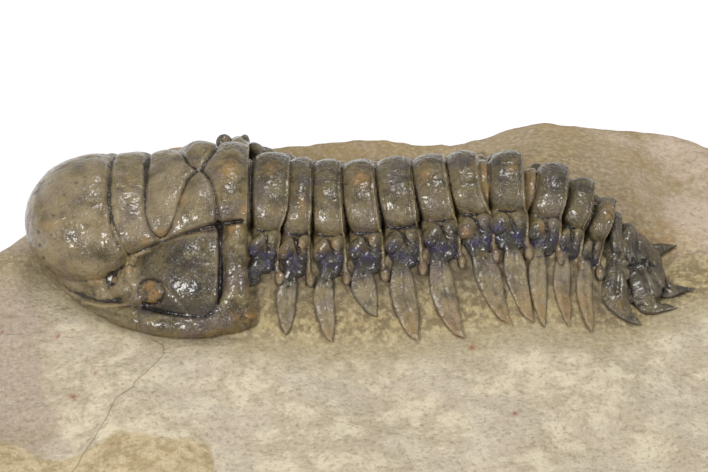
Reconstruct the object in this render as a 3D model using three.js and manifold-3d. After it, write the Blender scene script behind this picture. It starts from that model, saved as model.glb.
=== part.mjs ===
// A crotalocephalina trilobite, a cheirurid of the Lower Devonian, on the limestone it was prepared out of.
// Millimetres, +Z up. The slab stands on its flat underside at z = 0, with the origin in the middle of it.
// The trilobite lies along X with its head at -X, and the near side of the animal (its left) faces -Y.
// Its plates are separate solids, as in life: the head shield, eleven thoracic segments and the tail shield.
// Each plate overlaps the next one behind it, and the stone fills the hollow under them all.

import * as THREE from "three";
import { ParametricGeometry } from "three/addons/geometries/ParametricGeometry.js";
import { mergeVertices } from "three/addons/utils/BufferGeometryUtils.js";
import Module from "manifold-3d";

const wasm = await Module();
wasm.setup();

// Where the animal's own frame sits over the slab. Everything below it is in the animal's frame.
const ANIMAL_AT = new THREE.Vector3(0, 12.66, 27);
const GAP = 0.4; // between a plate and the stone below it
const SEAM = 0.3; // between two plates
const CORE_DEPTH = 1.2; // how far the stone in the animal lies below the axial furrows
const BACK = new THREE.Vector3(1, 0, 0);

// The line midway between the axial furrows, as [x, y] and [x, z]: the tail swings over and dives.
const AXIS_Y = [
  [-12, 0], [-3, -0.2], [5.5, 0.5], [14, 1.9], [18.4, 2.3], [23, 2], [29.3, 0.8], [33, -0.8], [38, -1.6],
];
const AXIS_Z = [
  [-39, -3.4], [-34, 0.5], [-28, 4], [-22, 5.4], [-15, 7.2], [-10.4, 5.9], [-3, 5], [5.5, 5.3], [14, 5.7],
  [18.4, 5.6], [23, 4.6], [26.4, 3.2], [29.3, 1.4], [31.5, 0.1], [33, -0.7], [34.6, -1.9], [36.5, -3],
  [40, -3.6],
];
// Distances from that line: where the stone core starts to fall, and where it has reached the slab.
const CORE_SHOULDER = [
  [-38, 1], [-34, 3.4], [-30, 6.4], [-24, 8.5], [-12, 9.6], [-3, 9.4], [5.3, 9], [14, 8], [23, 7], [30, 5.6],
  [36, 2.5], [42, 2],
];
const CORE_FOOT = [
  [-38.5, 1.8], [-36.5, 4], [-33.2, 7], [-30.9, 9.2], [-28.6, 11.4], [-25.8, 13.2], [-20.9, 15.4],
  [-15, 16.4], [-8, 17.4], [8, 17.8], [20, 17], [29, 16], [33, 13], [37, 9], [42, 6],
];
// The far side of the body lies lower than the near side, by this much.
const FAR_DROP = [
  [-38, 0], [-30, 1.2], [-20, 2.2], [-14, 1.2], [-10.5, 0], [-7, 0.9], [-3, 1.5], [20, 1.6], [30, 1],
];
// The slab's far and near edges as [x, y]. The far edge is cut back beside the head.
const SLAB_HALF_LENGTH = 60;
const FAR_EDGE = [
  [-60, -12], [-50, -3.6], [-42.5, 1.8], [-38, 7], [-32, 15.5], [-24, 19.6], [-8, 21.4], [0, 22.3], [8, 21.7],
  [15, 22.8], [23, 24.4], [30, 24.8], [38, 24.8], [44, 22.6], [52, 19.5], [60, 13],
];
const NEAR_EDGE = [
  [-60, -36], [-54, -43], [-42, -47.5], [-24, -50], [-5, -48], [14, -49.5], [34, -50], [48, -46], [60, -37],
];

// One row per thoracic segment, front to back: the x of its middle, then the x of its near spine
// at the neck, at the blade and at the tip, and the y of that tip.
const SEGMENTS = [
  [-10.3, -11.9, -12.2, -12.5, -12.6],
  [-6.8, -7.5, -8, -8, -16.7],
  [-3, -3.4, -3.5, -2.6, -17.7],
  [1.1, 0.8, 1.1, 2.7, -14.8],
  [5.3, 5.4, 5.8, 7.7, -17.5],
  [9.7, 9.9, 10.5, 13.2, -16.9],
  [13.9, 14.6, 16, 18.8, -14.6],
  [18.4, 18.5, 19.4, 21.5, -14.2],
  [23.1, 22, 21.7, 22.4, -14.8],
  [26.4, 25, 24.8, 25.7, -15],
  [29.3, 27.9, 27.7, 28.3, -15.4],
];
const FAR_SPINES = 7; // behind this many segments the stone still covers the far spines

// A smooth value at x through [x, value] knots, held level beyond both ends.
function through(knots, x) {
  const last = knots.length - 1;
  if (x <= knots[0][0]) return knots[0][1];
  if (x >= knots[last][0]) return knots[last][1];
  const i = knots.findIndex(([k]) => k > x) - 1;
  const slope = (a, b) => (knots[b][1] - knots[a][1]) / (knots[b][0] - knots[a][0]);
  const before = slope(Math.max(i - 1, 0), i + 1);
  const after = slope(i, Math.min(i + 2, last));
  const step = knots[i + 1][0] - knots[i][0];
  const t = (x - knots[i][0]) / step;
  const rise = knots[i + 1][1] - knots[i][1];
  const bend = (before * step - rise) * (1 - t) - (after * step - rise) * t;
  return knots[i][1] + t * rise + t * (1 - t) * bend;
}

// Straight lines through [x, value] knots.
function polyline(knots, x) {
  const i = Math.max(1, knots.findIndex(([k]) => k >= x));
  const [[x0, a], [x1, b]] = [knots[i - 1], knots[i]];
  return a + ((b - a) * (x - x0)) / (x1 - x0);
}

function smoothstep(low, high, x) {
  const t = Math.min(1, Math.max(0, (x - low) / (high - low)));
  return t * t * (3 - 2 * t);
}

// The slab's top without the animal: nearly level, lower before the head and round the tail,
// and higher behind the tail, where the stone still covers the far spines.
function bed(x, y) {
  const head = -1 * smoothstep(-22, -38, x);
  const tail = -1.2 * smoothstep(24, 36, x);
  const cover = 2.4 * smoothstep(15, 24, x) * smoothstep(2, 8, y) * (1 - smoothstep(33, 40, x));
  const far = smoothstep(12, 20, Math.abs(y + 2));
  const waves = 0.35 * Math.sin(0.13 * x + 1) * Math.cos(0.15 * y) - 0.25 * Math.sin(0.31 * x + 0.2 * y);
  return -2.3 + head + tail + cover * (1 - 0.6 * smoothstep(14, 24, y)) + waves * far;
}

// The stone's top everywhere, with the core that fills the animal.
function ground(x, y) {
  const level = bed(x, y);
  const across = y - through(AXIS_Y, x);
  const shoulder = through(CORE_SHOULDER, x);
  const drop = through(FAR_DROP, x) * smoothstep(0.3 * shoulder, shoulder, across);
  const core = through(AXIS_Z, x) - CORE_DEPTH - drop - level;
  const fall = smoothstep(shoulder - 1, through(CORE_FOOT, x) + 0.4, Math.abs(across));
  return level + Math.max(0, core) * (1 - fall);
}

// A closed three.js geometry as a manifold solid, with its seams welded and its collapsed triangles left out.
function solid(geometry) {
  const bare = geometry.clone();
  bare.deleteAttribute("normal");
  bare.deleteAttribute("uv");
  const welded = mergeVertices(bare, 1e-4);
  const vertProperties = welded.attributes.position.array;
  const corners = [];
  for (let i = 0; i < welded.index.count; i += 3) {
    const [a, b, c] = welded.index.array.subarray(i, i + 3);
    if (a !== b && b !== c && c !== a) corners.push(a, b, c);
  }
  const build = (order) =>
    new wasm.Manifold(new wasm.Mesh({ numProp: 3, vertProperties, triVerts: new Uint32Array(order) }));
  const made = build(corners);
  return made.volume() > 0 ? made : build(corners.reverse());
}

function joined(solids) {
  return solids.reduce((all, next) => all.add(next));
}

// The largest of a solid's separate bodies: cuts can leave crumbs.
function largest(made) {
  return made.decompose().reduce((a, b) => (b.volume() > a.volume() ? b : a));
}

function ellipsoid([x, y, z], [rx, ry, rz], { turn = 0, grow = 0, around = 6, rows = 3 } = {}) {
  const ball = new THREE.SphereGeometry(1, around, rows);
  ball.rotateX(Math.PI / 2);
  ball.scale(rx + grow, ry + grow, rz + grow).rotateZ(turn).translate(x, y, z);
  return solid(ball);
}

// A closed bar through stations [x, y, z, halfWidth, halfThickness]. Its width lies along `side`,
// or level and square to the line where no side is given. A higher power makes its section squarer.
function bar(stations, { side = null, around = 6, grow = 0, power = 2 } = {}) {
  const curve = (points) => new THREE.CatmullRomCurve3(points, false, "catmullrom", 0.5);
  const line = curve(stations.map(([x, y, z]) => new THREE.Vector3(x, y, z)));
  const radii = curve(stations.map(([, , , w, h]) => new THREE.Vector3(w, h, 0)));
  const spans = stations.length - 1;
  const slices = spans + 2;
  const [tangent, wide, thick] = [new THREE.Vector3(), new THREE.Vector3(), new THREE.Vector3()];
  const squared = (c) => Math.sign(c) * Math.abs(c) ** (2 / power);
  const surface = (u, v, target) => {
    const slice = Math.round(u * slices);
    const open = slice > 0 && slice < slices ? 1 : 0;
    const t = Math.min(1, Math.max(0, (slice - 1) / spans));
    line.getTangent(t, tangent);
    if (side) thick.crossVectors(side, tangent).normalize();
    else thick.set(0, 0, 1).addScaledVector(tangent, -tangent.z).normalize();
    wide.crossVectors(tangent, thick).normalize();
    const size = radii.getPoint(t);
    line.getPoint(t, target);
    target.addScaledVector(wide, open * (size.x + grow) * squared(Math.cos(2 * Math.PI * v)));
    target.addScaledVector(thick, open * (size.y + grow) * squared(Math.sin(2 * Math.PI * v)));
  };
  return solid(new ParametricGeometry(surface, slices, around));
}

// Where the slab's facets are fine: lines along the animal and lines across it.
const COLUMNS = [[-1, -60], [-0.74, -40.5], [-0.4, -29], [0.76, 41], [1, 60]];
const COLUMN_COUNT = 26;
const ROW_COUNT = 14;

// The slab: a box of facets whose top follows the ground and whose sides are broken rock.
function slab(lift = 0) {
  const box = new THREE.BoxGeometry(2, 2, 2, COLUMN_COUNT, ROW_COUNT, 1);
  const at = box.attributes.position;
  const floor = -ANIMAL_AT.z - 1;
  for (let i = 0; i < at.count; i++) {
    const [u, v, w] = [at.getX(i), at.getY(i), at.getZ(i)];
    const x = polyline(COLUMNS, u);
    const near = through(NEAR_EDGE, x);
    const far = through(FAR_EDGE, x);
    const axis = through(AXIS_Y, x);
    const foot = Math.max(8, through(CORE_FOOT, x));
    const rows = [
      [-1, near], [-0.57, Math.min(axis - foot, far - 14)], [-0.29, Math.min(axis - 0.62 * foot, far - 11)],
      [0.14, Math.min(axis + 0.3 * foot, far - 7)], [0.43, Math.min(axis + 0.62 * foot, far - 5)],
      [0.72, Math.min(axis + foot, far - 2)], [1, far],
    ];
    const y = polyline(rows, v);
    const rim = Math.max(Math.abs(u), Math.abs(v));
    const chip = Math.abs(u) > 0.99 ? 0.8 * Math.sin(9 * v) : 0;
    const shrink = w < 0 ? 0.95 + 0.015 * Math.sin(7 * u + 5 * v) : 1;
    const z = w < 0 ? floor : ground(x, y) - 1.2 * smoothstep(0.94, 1, rim) + lift;
    at.setXYZ(i, (x + chip) * shrink, (y + ANIMAL_AT.y) * shrink - ANIMAL_AT.y, z);
  }
  const underside = new THREE.BoxGeometry(200, 200, 20).translate(0, 0, -ANIMAL_AT.z - 10);
  return solid(box).subtract(solid(underside));
}

// The middle, directions and sizes of thoracic segment i.
function segmentFrame(i) {
  const [x] = SEGMENTS[i];
  const before = i ? x - SEGMENTS[i - 1][0] : 3.4;
  const after = i < SEGMENTS.length - 1 ? SEGMENTS[i + 1][0] - x : 2.1;
  const turn = 0.5 * Math.atan((through(AXIS_Y, x + 2) - through(AXIS_Y, x - 2)) / 4);
  const dive = 0.45 * Math.atan((through(AXIS_Z, x - 2) - through(AXIS_Z, x + 2)) / 4);
  const share = i / (SEGMENTS.length - 1);
  const halfSpan = 6.55 * (1 - 0.44 * share ** 1.5);
  return {
    centre: new THREE.Vector3(x, through(AXIS_Y, x), through(AXIS_Z, x)),
    back: new THREE.Vector3(Math.cos(turn) * Math.cos(dive), Math.sin(turn), -Math.sin(dive)),
    across: new THREE.Vector3(-Math.sin(turn), Math.cos(turn), 0),
    up: new THREE.Vector3(Math.sin(dive), 0, Math.cos(dive)),
    halfSpan,
    rise: 4.3 - 1.1 * share ** 2,
    pleura: 2.5 + 0.35 * halfSpan,
    halfLength: 0.22 * (before + after),
  };
}

// A point of a segment: f behind its middle, t across (near side negative) and n above the furrows.
function inSegment({ centre, back, across, up }, f, t, n) {
  return centre.clone().addScaledVector(back, f).addScaledVector(across, t).addScaledVector(up, n).toArray();
}

// The axial ring, solid down to the stone, with the half-ring that slides under the ring before it.
// Each station is [share of the half-length behind the middle, how far it lies below the crest].
const RING_PROFILE = [[-2.1, 1.9], [-1.75, 0.85], [-1.05, 0.75], [-0.85, 0.05], [0.85, 0], [1.05, 0.5]];

function ring(frame, grow) {
  const stations = RING_PROFILE.map(([share, sunk]) => [
    ...inSegment(frame, share * frame.halfLength, 0, 0), frame.halfSpan - sunk, frame.rise - sunk,
  ]);
  return bar(stations, { side: frame.across, around: 12, grow, power: 2.4 });
}

// One side of a segment: the inner band with its two nodes, the waist, and the free spine on the stone.
// The spine is { neck, blade, tip } in x and the y of its tip. Without one the band ends at the waist.
function pleura(frame, side, grow, spine) {
  const { centre, halfSpan, pleura: width, halfLength } = frame;
  const drop = side > 0 ? through(FAR_DROP, centre.x) : 0;
  const waist = halfSpan + width;
  const lean = side > 0 && spine ? 0.4 * (spine.neck - centre.x) : 0;
  const stations = [
    [...inSegment(frame, 0, side * (halfSpan - 1), -0.3 - 0.3 * drop), halfLength * 0.9, 0.9],
    [...inSegment(frame, lean, side * (halfSpan + 0.5 * width), -0.2 - drop), halfLength * 0.92, 0.9],
    [...inSegment(frame, lean, side * (waist - 0.6), -0.6 - drop), halfLength * 0.68, 0.75],
  ];
  if (spine) {
    const neckY = centre.y + side * (waist + 0.5);
    const heft = Math.sqrt(halfLength / 1.9);
    const bend = 0.55 * spine.blade + 0.45 * spine.tip;
    const free = [[spine.neck, 0, 1.05], [spine.blade, 0.32, 1.22], [bend, 0.68, 1.15], [spine.tip, 1, 0.2]];
    for (const [x, share, halfWidth] of free) {
      const y = neckY + (spine.tipY - neckY) * share;
      stations.push([x, y, ground(x, y) + 0.4, halfWidth * heft, 0.25 + 0.6 * Math.sqrt(1 - share)]);
    }
  }
  const node = (f, t, n, radii, turn) => {
    const at = inSegment(frame, f + lean, side * (halfSpan + t * width), n - drop);
    return ellipsoid(at, radii, { turn: side * turn });
  };
  const limb = bar(stations, { side: frame.back, grow, power: 2.2 });
  if (grow) return limb; // the nodes stay clear of the next segment
  return joined([
    limb,
    node(-0.42 * halfLength, 0.56, 0.1, [0.42 * halfLength, 0.36 * width, 0.85], 0.35),
    node(0.42 * halfLength, 0.34, 0.2, [0.52 * halfLength, 0.3 * width, 0.95], 0.2),
  ]);
}

function segment(i, grow = 0) {
  const frame = segmentFrame(i);
  const [x, neck, blade, tip, tipY] = SEGMENTS[i];
  const forward = i ? 0 : 1.5; // the first segment's far side is pushed up under the head
  const farTipY = through(AXIS_Y, x) + through(CORE_FOOT, x);
  const farSpine = { neck: x - forward, blade: x + 0.4, tip: x + 2, tipY: farTipY };
  return joined([
    ring(frame, grow),
    pleura(frame, -1, grow, { neck, blade, tip, tipY }),
    pleura(frame, 1, grow, i < FAR_SPINES ? farSpine : null),
  ]);
}

// An arched lobe of the glabella from one axial furrow to the other, as [x at the furrow, at the flank and
// at the crest] and the half-lengths there.
function lobe([atFurrow, atFlank, atCrest], [low, mid, high], { halfSpan, rise, base, grow }) {
  const thickness = 1.7;
  const half = [[-0.08, atFurrow, low * 0.6], [0.12, atFurrow, low], [0.3, atFlank, mid]];
  const stations = [...half, [0.5, atCrest, high], ...half.map(([a, x, l]) => [1 - a, x, l]).reverse()];
  return bar(
    stations.map(([share, x, halfLength]) => [
      x,
      -(halfSpan - thickness) * Math.cos(share * Math.PI),
      base + (rise - thickness) * Math.sin(share * Math.PI),
      halfLength,
      thickness,
    ]),
    { side: BACK, grow, power: 3.4 },
  );
}

// The border of the head shield, from its front to the genal angle: [x, y from the axis, z, half-width].
const HEAD_BORDER = [
  [-37.4, 0, -2.9, 0.9], [-36.2, 3.2, -2.9, 0.9], [-33.4, 7.5, -2.6, 1], [-30.6, 10.3, -2.3, 1.2],
  [-27.6, 12.7, -1.9, 1.4], [-24, 14.7, -1.4, 1.6], [-20.6, 15.7, -1.1, 1.7], [-17.4, 15.9, -0.8, 1.7],
  [-15, 15, -0.4, 1.6],
];

function cheek(side, grow) {
  const low = side > 0 ? -2.2 : 0; // the far cheek is pressed down
  const dome = bar(
    [
      [-26, side * 11, 0.4 + low * 0.4, 0.8, 0.9], [-24.8, side * 10, 0.9 + low * 0.6, 2.8, 2.8],
      [-22, side * 9, 0.8 + low, 5.2, 5.2], [-18.6, side * 8.2, 0.4 + low, 6.2, 6.5],
      [-15.9, side * 8, 0.2 + low, 6.4, 6.7],
    ],
    { around: 12, grow, power: 2.1 },
  );
  const hind = bar(
    [
      [-14.1, side * 6.2, 6.6, 1.15, 1.2], [-14.2, side * 9, 6.5, 1.15, 1.2],
      [-14.2, side * 12, 4.8, 1.2, 1.25], [-14.4, side * 14.6, 1.9, 1.3, 1.3],
      [-15, side * 15.6, -0.3, 1.5, 1.4],
    ],
    { side: BACK, grow },
  );
  const eye = ellipsoid([-24, side * 12.1, 1.9 + low], [1.5, 1.6, 1.5], { grow, around: 6, rows: 4 });
  return joined([dome, hind, eye]);
}

// A furrow over the glabella, as a thin bar to cut with: [x, y, z] down its near half.
function furrow(points) {
  const near = points.map(([x, y, z]) => [x, y, z, 0.42, 0.5]);
  const far = points.slice(1).map(([x, y, z]) => [x, -y, z, 0.42, 0.5]).reverse();
  return bar([...far, ...near], { side: BACK, around: 4 });
}

function headShield(grow = 0) {
  const across = HEAD_BORDER.slice(1).reverse().map(([x, y, z, w]) => [x, -y, z, w, w * 0.95]);
  const border = [...across, ...HEAD_BORDER.map(([x, y, z, w]) => [x, y, z, w, w * 0.95])];
  const shield = bar(
    [
      [-36, 0, -3, 4, 1.4], [-33, 0, -2.6, 8, 3.2], [-29, 0, -2, 11.6, 4.2], [-24.5, 0, -1.8, 14.2, 4.2],
      [-20, 0, -1.6, 15.4, 4.2], [-15.2, 0, -1.5, 15.2, 4.2],
    ],
    { around: 12, grow },
  );
  const core = bar(
    [[-33, 0, 1, 5, 4], [-29, 0, 3.2, 7, 5.4], [-22, 0, 5, 7.2, 4.1], [-13.4, 0, 7, 6.6, 3.3]],
    { around: 12, grow, power: 2.3 },
  );
  const frontal = ellipsoid([-30.8, 0, 2.4], [8.6, 9.6, 7], { grow, around: 16, rows: 8 });
  const sizes = (halfSpan, rise, base) => ({ halfSpan, rise, base, grow });
  const third = lobe([-25.9, -26.7, -26.8], [1.4, 2, 2.3], sizes(8.7, 3.9, 4.9));
  const second = lobe([-22.7, -22.2, -21.8], [1.2, 2.4, 3.2], sizes(8, 4.1, 5.7));
  const occipital = lobe([-14.5, -14.9, -15.7], [1.4, 1.8, 2.4], sizes(7.3, 3.9, 7.5));
  const firstLobe = (side) =>
    bar(
      [
        [-18.5, side * 0.9, 9.4, 0.6, 1.4], [-18.7, side * 3, 8.9, 1.7, 1.6],
        [-18.9, side * 5, 7.7, 2.3, 1.8], [-19.1, side * 6.2, 5.9, 2.5, 1.8],
      ],
      { side: BACK, grow, power: 2.5 },
    );
  const whole = joined([
    bar(border, { grow }), shield, core, frontal, third, second, occipital,
    firstLobe(-1), firstLobe(1), cheek(-1, grow), cheek(1, grow),
  ]);
  if (grow) return whole;
  return whole.subtract(
    furrow([[-28.9, 0, 9.3], [-28.9, -3.6, 8.6], [-28.6, -6.6, 6.6], [-27.8, -8.8, 4], [-26.6, -9.4, 1.6]]),
  );
}

// The tail shield's spines. The stone still covers the two far ones in front of the last.
const TAIL_SPINES = [
  { root: [31.6, -3.4], bend: [30.9, -9.8], tip: [34.1, -13.2], width: 1.5 },
  { root: [33.6, -3.6], bend: [35, -9.4], tip: [38.6, -9.8], width: 1.35 },
  { root: [35.2, -3.2], bend: [37.3, -6.6], tip: [40.8, -6.2], width: 1.25 },
  { root: [34.6, -0.6], bend: [36.4, 1.1], tip: [39, 2.2], width: 1.1 },
];
// The rings of the tail shield's axis: [x, half-span, rise, half-length].
const TAIL_RINGS = [[31.3, 3.3, 2.5, 0.85], [32.9, 2.8, 2.2, 0.85], [34.4, 2.3, 2, 0.8]];

function tailShield(grow = 0) {
  const onStone = (x, y, lift, w, h) => [x, y, ground(x, y) + lift, w, h];
  const middle = (a, b, share) => [0, 1].map((k) => a[k] + (b[k] - a[k]) * share);
  const spines = TAIL_SPINES.map(({ root, bend, tip, width }) =>
    bar(
      [
        onStone(...root, 0.6, width * 0.8, 0.8),
        onStone(...middle(root, bend, 0.55), 0.5, width, 0.85),
        onStone(...bend, 0.45, width, 0.8),
        onStone((bend[0] + tip[0]) / 2, bend[1] * 0.35 + tip[1] * 0.65, 0.4, width * 0.6, 0.6),
        onStone(...tip, 0.4, 0.22, 0.25),
      ],
      { grow },
    ),
  );
  const plate = bar(
    [
      onStone(31, -0.6, 0.2, 5.6, 1.1), onStone(33, -1.3, 0.3, 5.6, 1.1), onStone(35.2, -2, 0.3, 4.4, 1),
      onStone(37, -2.6, 0.3, 2.6, 0.7),
    ],
    { around: 10, grow },
  );
  const rings = TAIL_RINGS.map(([x, halfSpan, rise, halfLength]) => {
    const centre = new THREE.Vector3(x, through(AXIS_Y, x), through(AXIS_Z, x) - 0.1);
    return ring({ ...segmentFrame(SEGMENTS.length - 1), centre, halfSpan, rise, halfLength }, grow);
  });
  return joined([plate, ...spines, ...rings]);
}

// Each plate gives way to the plate before it and to the stone.
const stone = slab();
const raisedStone = slab(GAP);
const builders = [headShield, ...SEGMENTS.map((_, i) => (grow) => segment(i, grow)), tailShield];
const names = ["head_shield", ...SEGMENTS.map((_, i) => `thoracic_segment_${i + 1}`), "tail_shield"];
const plates = builders.map((build, i) => {
  const plate = build(0).subtract(raisedStone);
  return largest(i ? plate.subtract(builders[i - 1](SEAM)) : plate);
});

function meshOf(name, made, colour, roughness) {
  const { vertProperties, triVerts } = made.getMesh();
  const geometry = new THREE.BufferGeometry();
  geometry.setAttribute("position", new THREE.BufferAttribute(vertProperties, 3));
  geometry.setIndex(new THREE.BufferAttribute(triVerts, 1));
  geometry.computeVertexNormals();
  const material = new THREE.MeshStandardMaterial({ color: colour, roughness, metalness: 0 });
  const mesh = new THREE.Mesh(geometry, material);
  mesh.name = name;
  return mesh;
}

const fossil = new THREE.Group();
const animal = new THREE.Group();
animal.position.copy(ANIMAL_AT);
animal.add(meshOf("limestone_matrix", largest(stone), 0xa6957a, 0.95));
plates.forEach((plate, i) => animal.add(meshOf(names[i], plate, 0x5a4f3c, 0.35)));
fossil.add(animal);

export default fossil;
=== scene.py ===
"""A crotalocephalina trilobite on its limestone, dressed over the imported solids.

Shapes are worked out in millimetres in the animal's own frame, whose origin is at ANIMAL_AT in the model's
frame: +X runs from head to tail, +Y to the animal's right, the far side, and +Z up. Each plate is a field of
signed distances, filled with lobes, bars and grooves, and then skinned. The stone is one displaced slab.
"""

import itertools
import math
from types import SimpleNamespace

import bpy
import numpy as np
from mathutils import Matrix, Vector


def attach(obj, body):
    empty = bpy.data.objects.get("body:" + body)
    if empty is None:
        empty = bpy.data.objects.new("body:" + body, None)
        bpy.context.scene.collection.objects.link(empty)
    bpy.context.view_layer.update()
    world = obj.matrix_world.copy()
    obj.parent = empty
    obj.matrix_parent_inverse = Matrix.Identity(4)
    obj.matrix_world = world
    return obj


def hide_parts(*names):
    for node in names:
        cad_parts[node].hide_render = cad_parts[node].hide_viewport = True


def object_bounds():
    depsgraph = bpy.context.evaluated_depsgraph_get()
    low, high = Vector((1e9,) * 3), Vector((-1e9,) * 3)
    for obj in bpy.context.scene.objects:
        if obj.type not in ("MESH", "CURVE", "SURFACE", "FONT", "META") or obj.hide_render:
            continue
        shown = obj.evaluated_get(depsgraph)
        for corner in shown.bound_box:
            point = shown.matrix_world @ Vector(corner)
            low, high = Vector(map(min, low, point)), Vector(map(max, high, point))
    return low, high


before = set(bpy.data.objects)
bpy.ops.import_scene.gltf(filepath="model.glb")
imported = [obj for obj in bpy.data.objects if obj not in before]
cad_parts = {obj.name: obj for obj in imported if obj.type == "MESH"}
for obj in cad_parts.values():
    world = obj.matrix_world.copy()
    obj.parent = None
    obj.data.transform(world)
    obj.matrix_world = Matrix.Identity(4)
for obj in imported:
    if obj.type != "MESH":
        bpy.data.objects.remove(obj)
CAD_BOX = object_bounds()

# Where the animal's frame sits in the model's, and the sizes shared with the solids.
ANIMAL_AT = np.array([0, 12.66, 27])
AXIS_Y = [
    (-12, 0), (-3, -0.2), (5.5, 0.5), (14, 1.9), (18.4, 2.3), (23, 2), (29.3, 0.8), (33, -0.8), (38, -1.6),
]
AXIS_Z = [
    (-39, -3.4), (-34, 0.5), (-28, 4), (-22, 5.4), (-15, 7.2), (-10.4, 5.9), (-3, 5), (5.5, 5.3), (14, 5.7),
    (18.4, 5.6), (23, 4.6), (26.4, 3.2), (29.3, 1.4), (31.5, 0.1), (33, -0.7), (34.6, -1.9), (36.5, -3),
    (40, -3.6),
]
CORE_SHOULDER = [
    (-38, 1), (-34, 3.4), (-30, 6.4), (-24, 8.5), (-12, 9.6), (-3, 9.4), (5.3, 9), (14, 8), (23, 7),
    (30, 5.6), (36, 2.5), (42, 2),
]
CORE_FOOT = [
    (-38.5, 1.8), (-36.5, 4), (-33.2, 7), (-30.9, 9.2), (-28.6, 11.4), (-25.8, 13.2), (-20.9, 15.4),
    (-15, 16.4), (-8, 17.4), (8, 17.8), (20, 17), (29, 16), (33, 13), (37, 9), (42, 6),
]
CORE_DEPTH = 1.2
FAR_DROP = [
    (-38, 0), (-30, 1.2), (-20, 2.2), (-14, 1.2), (-10.5, 0), (-7, 0.9), (-3, 1.5), (20, 1.6), (30, 1),
]
# x of each thoracic segment, x of its near spine at the neck, the blade and the tip, and y of that tip.
SEGMENTS = [
    (-10.3, -11.9, -12.2, -12.5, -12.6), (-6.8, -7.5, -8, -8, -16.7), (-3, -3.4, -3.5, -2.6, -17.7),
    (1.1, 0.8, 1.1, 2.7, -14.8), (5.3, 5.4, 5.8, 7.7, -17.5), (9.7, 9.9, 10.5, 13.2, -16.9),
    (13.9, 14.6, 16, 18.8, -14.6), (18.4, 18.5, 19.2, 21.3, -14.2), (23.1, 21.9, 21.7, 22.5, -14.8),
    (26.4, 24.9, 24.6, 25.5, -15), (29.3, 27.6, 27.3, 28.1, -15.4),
]
FAR_SPINES = 7
# The narrower blades, by the x of their segment.
BLADE_WIDTHS = {-6.8: 0.9, -3: 0.88, 18.4: 0.85, 23.1: 0.74, 26.4: 0.84, 29.3: 0.9}
SLAB_HALF_LENGTH = 60
FAR_EDGE = [
    (-60, -12), (-50, -3.6), (-42.5, 1.8), (-38, 7), (-32, 15.5), (-24, 19.6), (-8, 21.4), (0, 22.3),
    (8, 21.7), (15, 22.8), (23, 24.4), (30, 24.8), (38, 24.8), (44, 22.6), (52, 19.5), (60, 13),
]
NEAR_EDGE = [
    (-60, -36), (-54, -43), (-42, -47.5), (-24, -50), (-5, -48), (14, -49.5), (34, -50), (48, -46), (60, -37),
]
SIDES = (-1, 1)  # the near side of the animal and the far one
CELL, HEAD_CELL = 0.165, 0.19  # fineness of the plates' skins
SUNK = 0.5  # how deep the plates sink into the stone
CEILING = 1000 * CAD_BOX[1][2] - ANIMAL_AT[2] - 0.002  # the highest that a plate may reach
SIGHT = (0.616, 0.788)  # sine and cosine of the camera's elevation
BACK = (1, 0, 0)
METRE = 0.001  # one millimetre in metres


def through(knots, x):
    """A smooth curve through (x, value) knots, held level beyond both ends."""
    knots = np.array(knots, float)
    places, values = knots[:, 0], knots[:, 1]
    slopes = np.empty(len(places))
    slopes[1:-1] = (values[2:] - values[:-2]) / (places[2:] - places[:-2])
    slopes[0] = (values[1] - values[0]) / (places[1] - places[0])
    slopes[-1] = (values[-1] - values[-2]) / (places[-1] - places[-2])
    x = np.clip(x, places[0], places[-1])
    i = np.clip(np.searchsorted(places, x, side="right") - 1, 0, len(places) - 2)
    step = places[i + 1] - places[i]
    t = (x - places[i]) / step
    rise = values[i + 1] - values[i]
    bend = (slopes[i] * step - rise) * (1 - t) - (slopes[i + 1] * step - rise) * t
    return values[i] + t * rise + t * (1 - t) * bend


def seen_height(y, z):
    """How high a place stands in the photograph."""
    return SIGHT[0] * y + SIGHT[1] * z


def spots(points, table):
    """Patches on the near side, from rows of (x, height in the photograph, their radii, strength)."""
    x, v = points[:, 0], seen_height(points[:, 1], points[:, 2])
    total = np.zeros(len(points))
    for at, height, long, tall, strength in table:
        total += strength * np.exp(-(((x - at) / long) ** 2) - ((v - height) / tall) ** 2)
    return total * ramp(6, 2, points[:, 1])


def trace(points, line, half_width):
    """A thin line on the near side through (x, height in the photograph)."""
    x, v = points[:, 0], seen_height(points[:, 1], points[:, 2])
    ends = zip(np.array(line[:-1]), np.array(line[1:]))
    away = np.min([np.hypot(*nearest(a, b, (x, v))[1]) for a, b in ends], 0)
    return bump(away, 0, half_width) * ramp(2, 0, points[:, 1])


def ramp(low, high, x):
    """From 0 at low to 1 at high, with a smooth start and end."""
    t = np.clip((x - low) / (high - low), 0, 1)
    return t * t * (3 - 2 * t)


def bump(x, middle, half_width):
    """1 at the middle, falling smoothly to nothing a few half-widths away."""
    return np.exp(-(((x - middle) / half_width) ** 2))


def noise(points, size, seed=0):
    """Smooth noise from -1 to 1 over points, with lumps of about the given size."""
    scaled = np.asarray(points, np.float64) / size + 1000.5 + 17.3 * seed
    cell = np.floor(scaled).astype(np.int64)
    part = scaled - cell
    ease = part * part * part * (part * (part * 6 - 15) + 10)
    total = 0
    for corner in itertools.product((0, 1), repeat=3):
        n = cell + corner
        mixed = n[..., 0] * 73856093 ^ n[..., 1] * 19349663 ^ n[..., 2] * 83492791 ^ (seed + 1) * 2654435761
        mixed = (mixed ^ (mixed >> 13)) * 1274126177 & 0xFFFFFFFF
        value = ((mixed ^ (mixed >> 16)) & 0xFFFF) / 32767.5 - 1
        weight = np.where(corner, ease, 1 - ease).prod(axis=-1)
        total = total + weight * value
    return total


def soft_min(a, b, blend):
    if not blend:
        return np.minimum(a, b)
    h = np.clip(0.5 + 0.5 * (a - b) / blend, 0, 1)
    return a * (1 - h) + b * h - blend * h * (1 - h)


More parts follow.
